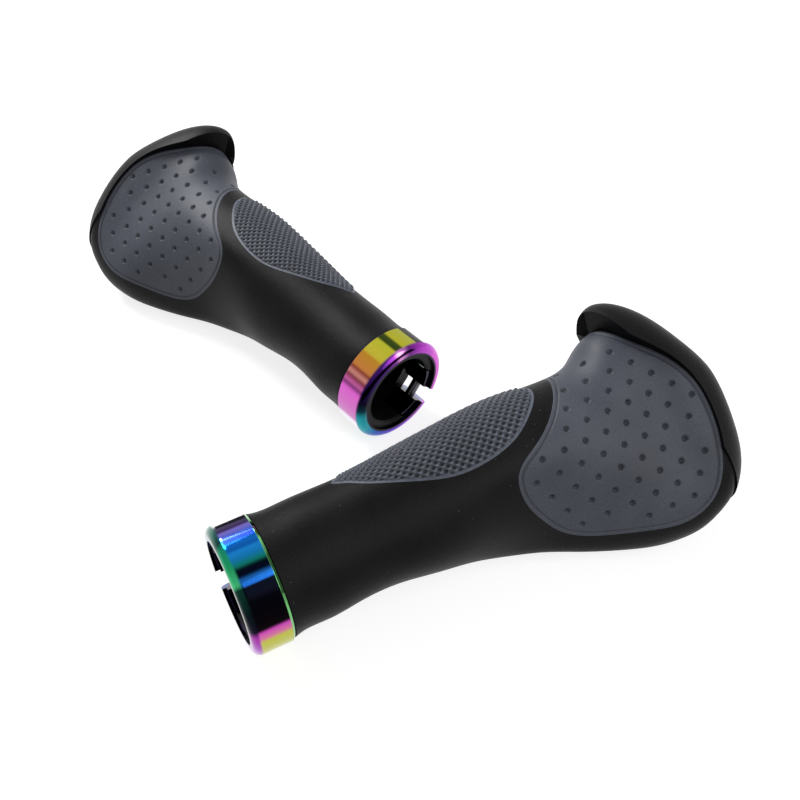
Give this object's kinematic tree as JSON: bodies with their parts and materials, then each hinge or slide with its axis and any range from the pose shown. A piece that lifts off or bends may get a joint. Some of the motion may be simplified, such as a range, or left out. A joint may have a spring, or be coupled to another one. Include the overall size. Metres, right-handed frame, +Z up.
{
  "type": "winged handlebar grips",
  "caption": "Winged handlebar grips, left and right, with a dimpled palm pad, a knurled finger insert, a closed flanged end and a split clamp ring at the inboard end.",
  "frame": {"origin": "on the table under the middle of the pair's bounding box", "axes": "+Z up from the table, +X to the right and +Y away from someone who looks at the clamps"},
  "size_m": [0.2078, 0.201, 0.0548],
  "materials": {
    "core_plastic": "matt moulded",
    "body_rubber": "matt moulded",
    "pad_rubber": "satin with dimples",
    "insert_rubber": "satin with knurl",
    "clamp_aluminium": "polished with iridescent coating",
    "screw_steel": "dark plated"
  },
  "bodies": {
    "right_grip": {"right_core_sleeve": "core_plastic", "right_grip_body": "body_rubber", "right_palm_pad": "pad_rubber", "right_finger_insert": "insert_rubber"},
    "right_clamp": {"right_clamp_ring": "clamp_aluminium"},
    "right_screw": {"right_pinch_screw": "screw_steel"},
    "left_grip": {"left_core_sleeve": "core_plastic", "left_grip_body": "body_rubber", "left_palm_pad": "pad_rubber", "left_finger_insert": "insert_rubber"},
    "left_clamp": {"left_clamp_ring": "clamp_aluminium"},
    "left_screw": {"left_pinch_screw": "screw_steel"}
  },
  "joints": [
    {"name": "right_clamp_slide", "type": "slide", "parent": "right_grip", "child": "right_clamp", "axis": [-0.8762, -0.4737, -0.0889], "range_m": [0, 0.012]},
    {"name": "right_screw_turn", "type": "hinge", "parent": "right_clamp", "child": "right_screw", "pos_m": [-0.03053, -0.07427, 0.00965], "axis": [-0.3369, 0.4699, 0.8159], "continuous": true},
    {"name": "left_grip_lift", "type": "slide", "parent": "right_grip", "child": "left_grip", "axis": [0, 0, 1], "range_m": [0, 0.1]},
    {"name": "left_clamp_slide", "type": "slide", "parent": "left_grip", "child": "left_clamp", "axis": [0.6869, -0.7213, -0.0889], "range_m": [0, 0.012]},
    {"name": "left_screw_turn", "type": "hinge", "parent": "left_clamp", "child": "left_screw", "pos_m": [0.01395, 0.00257, 0.00965], "axis": [0.4656, 0.3428, 0.8159], "continuous": true}
  ]
}
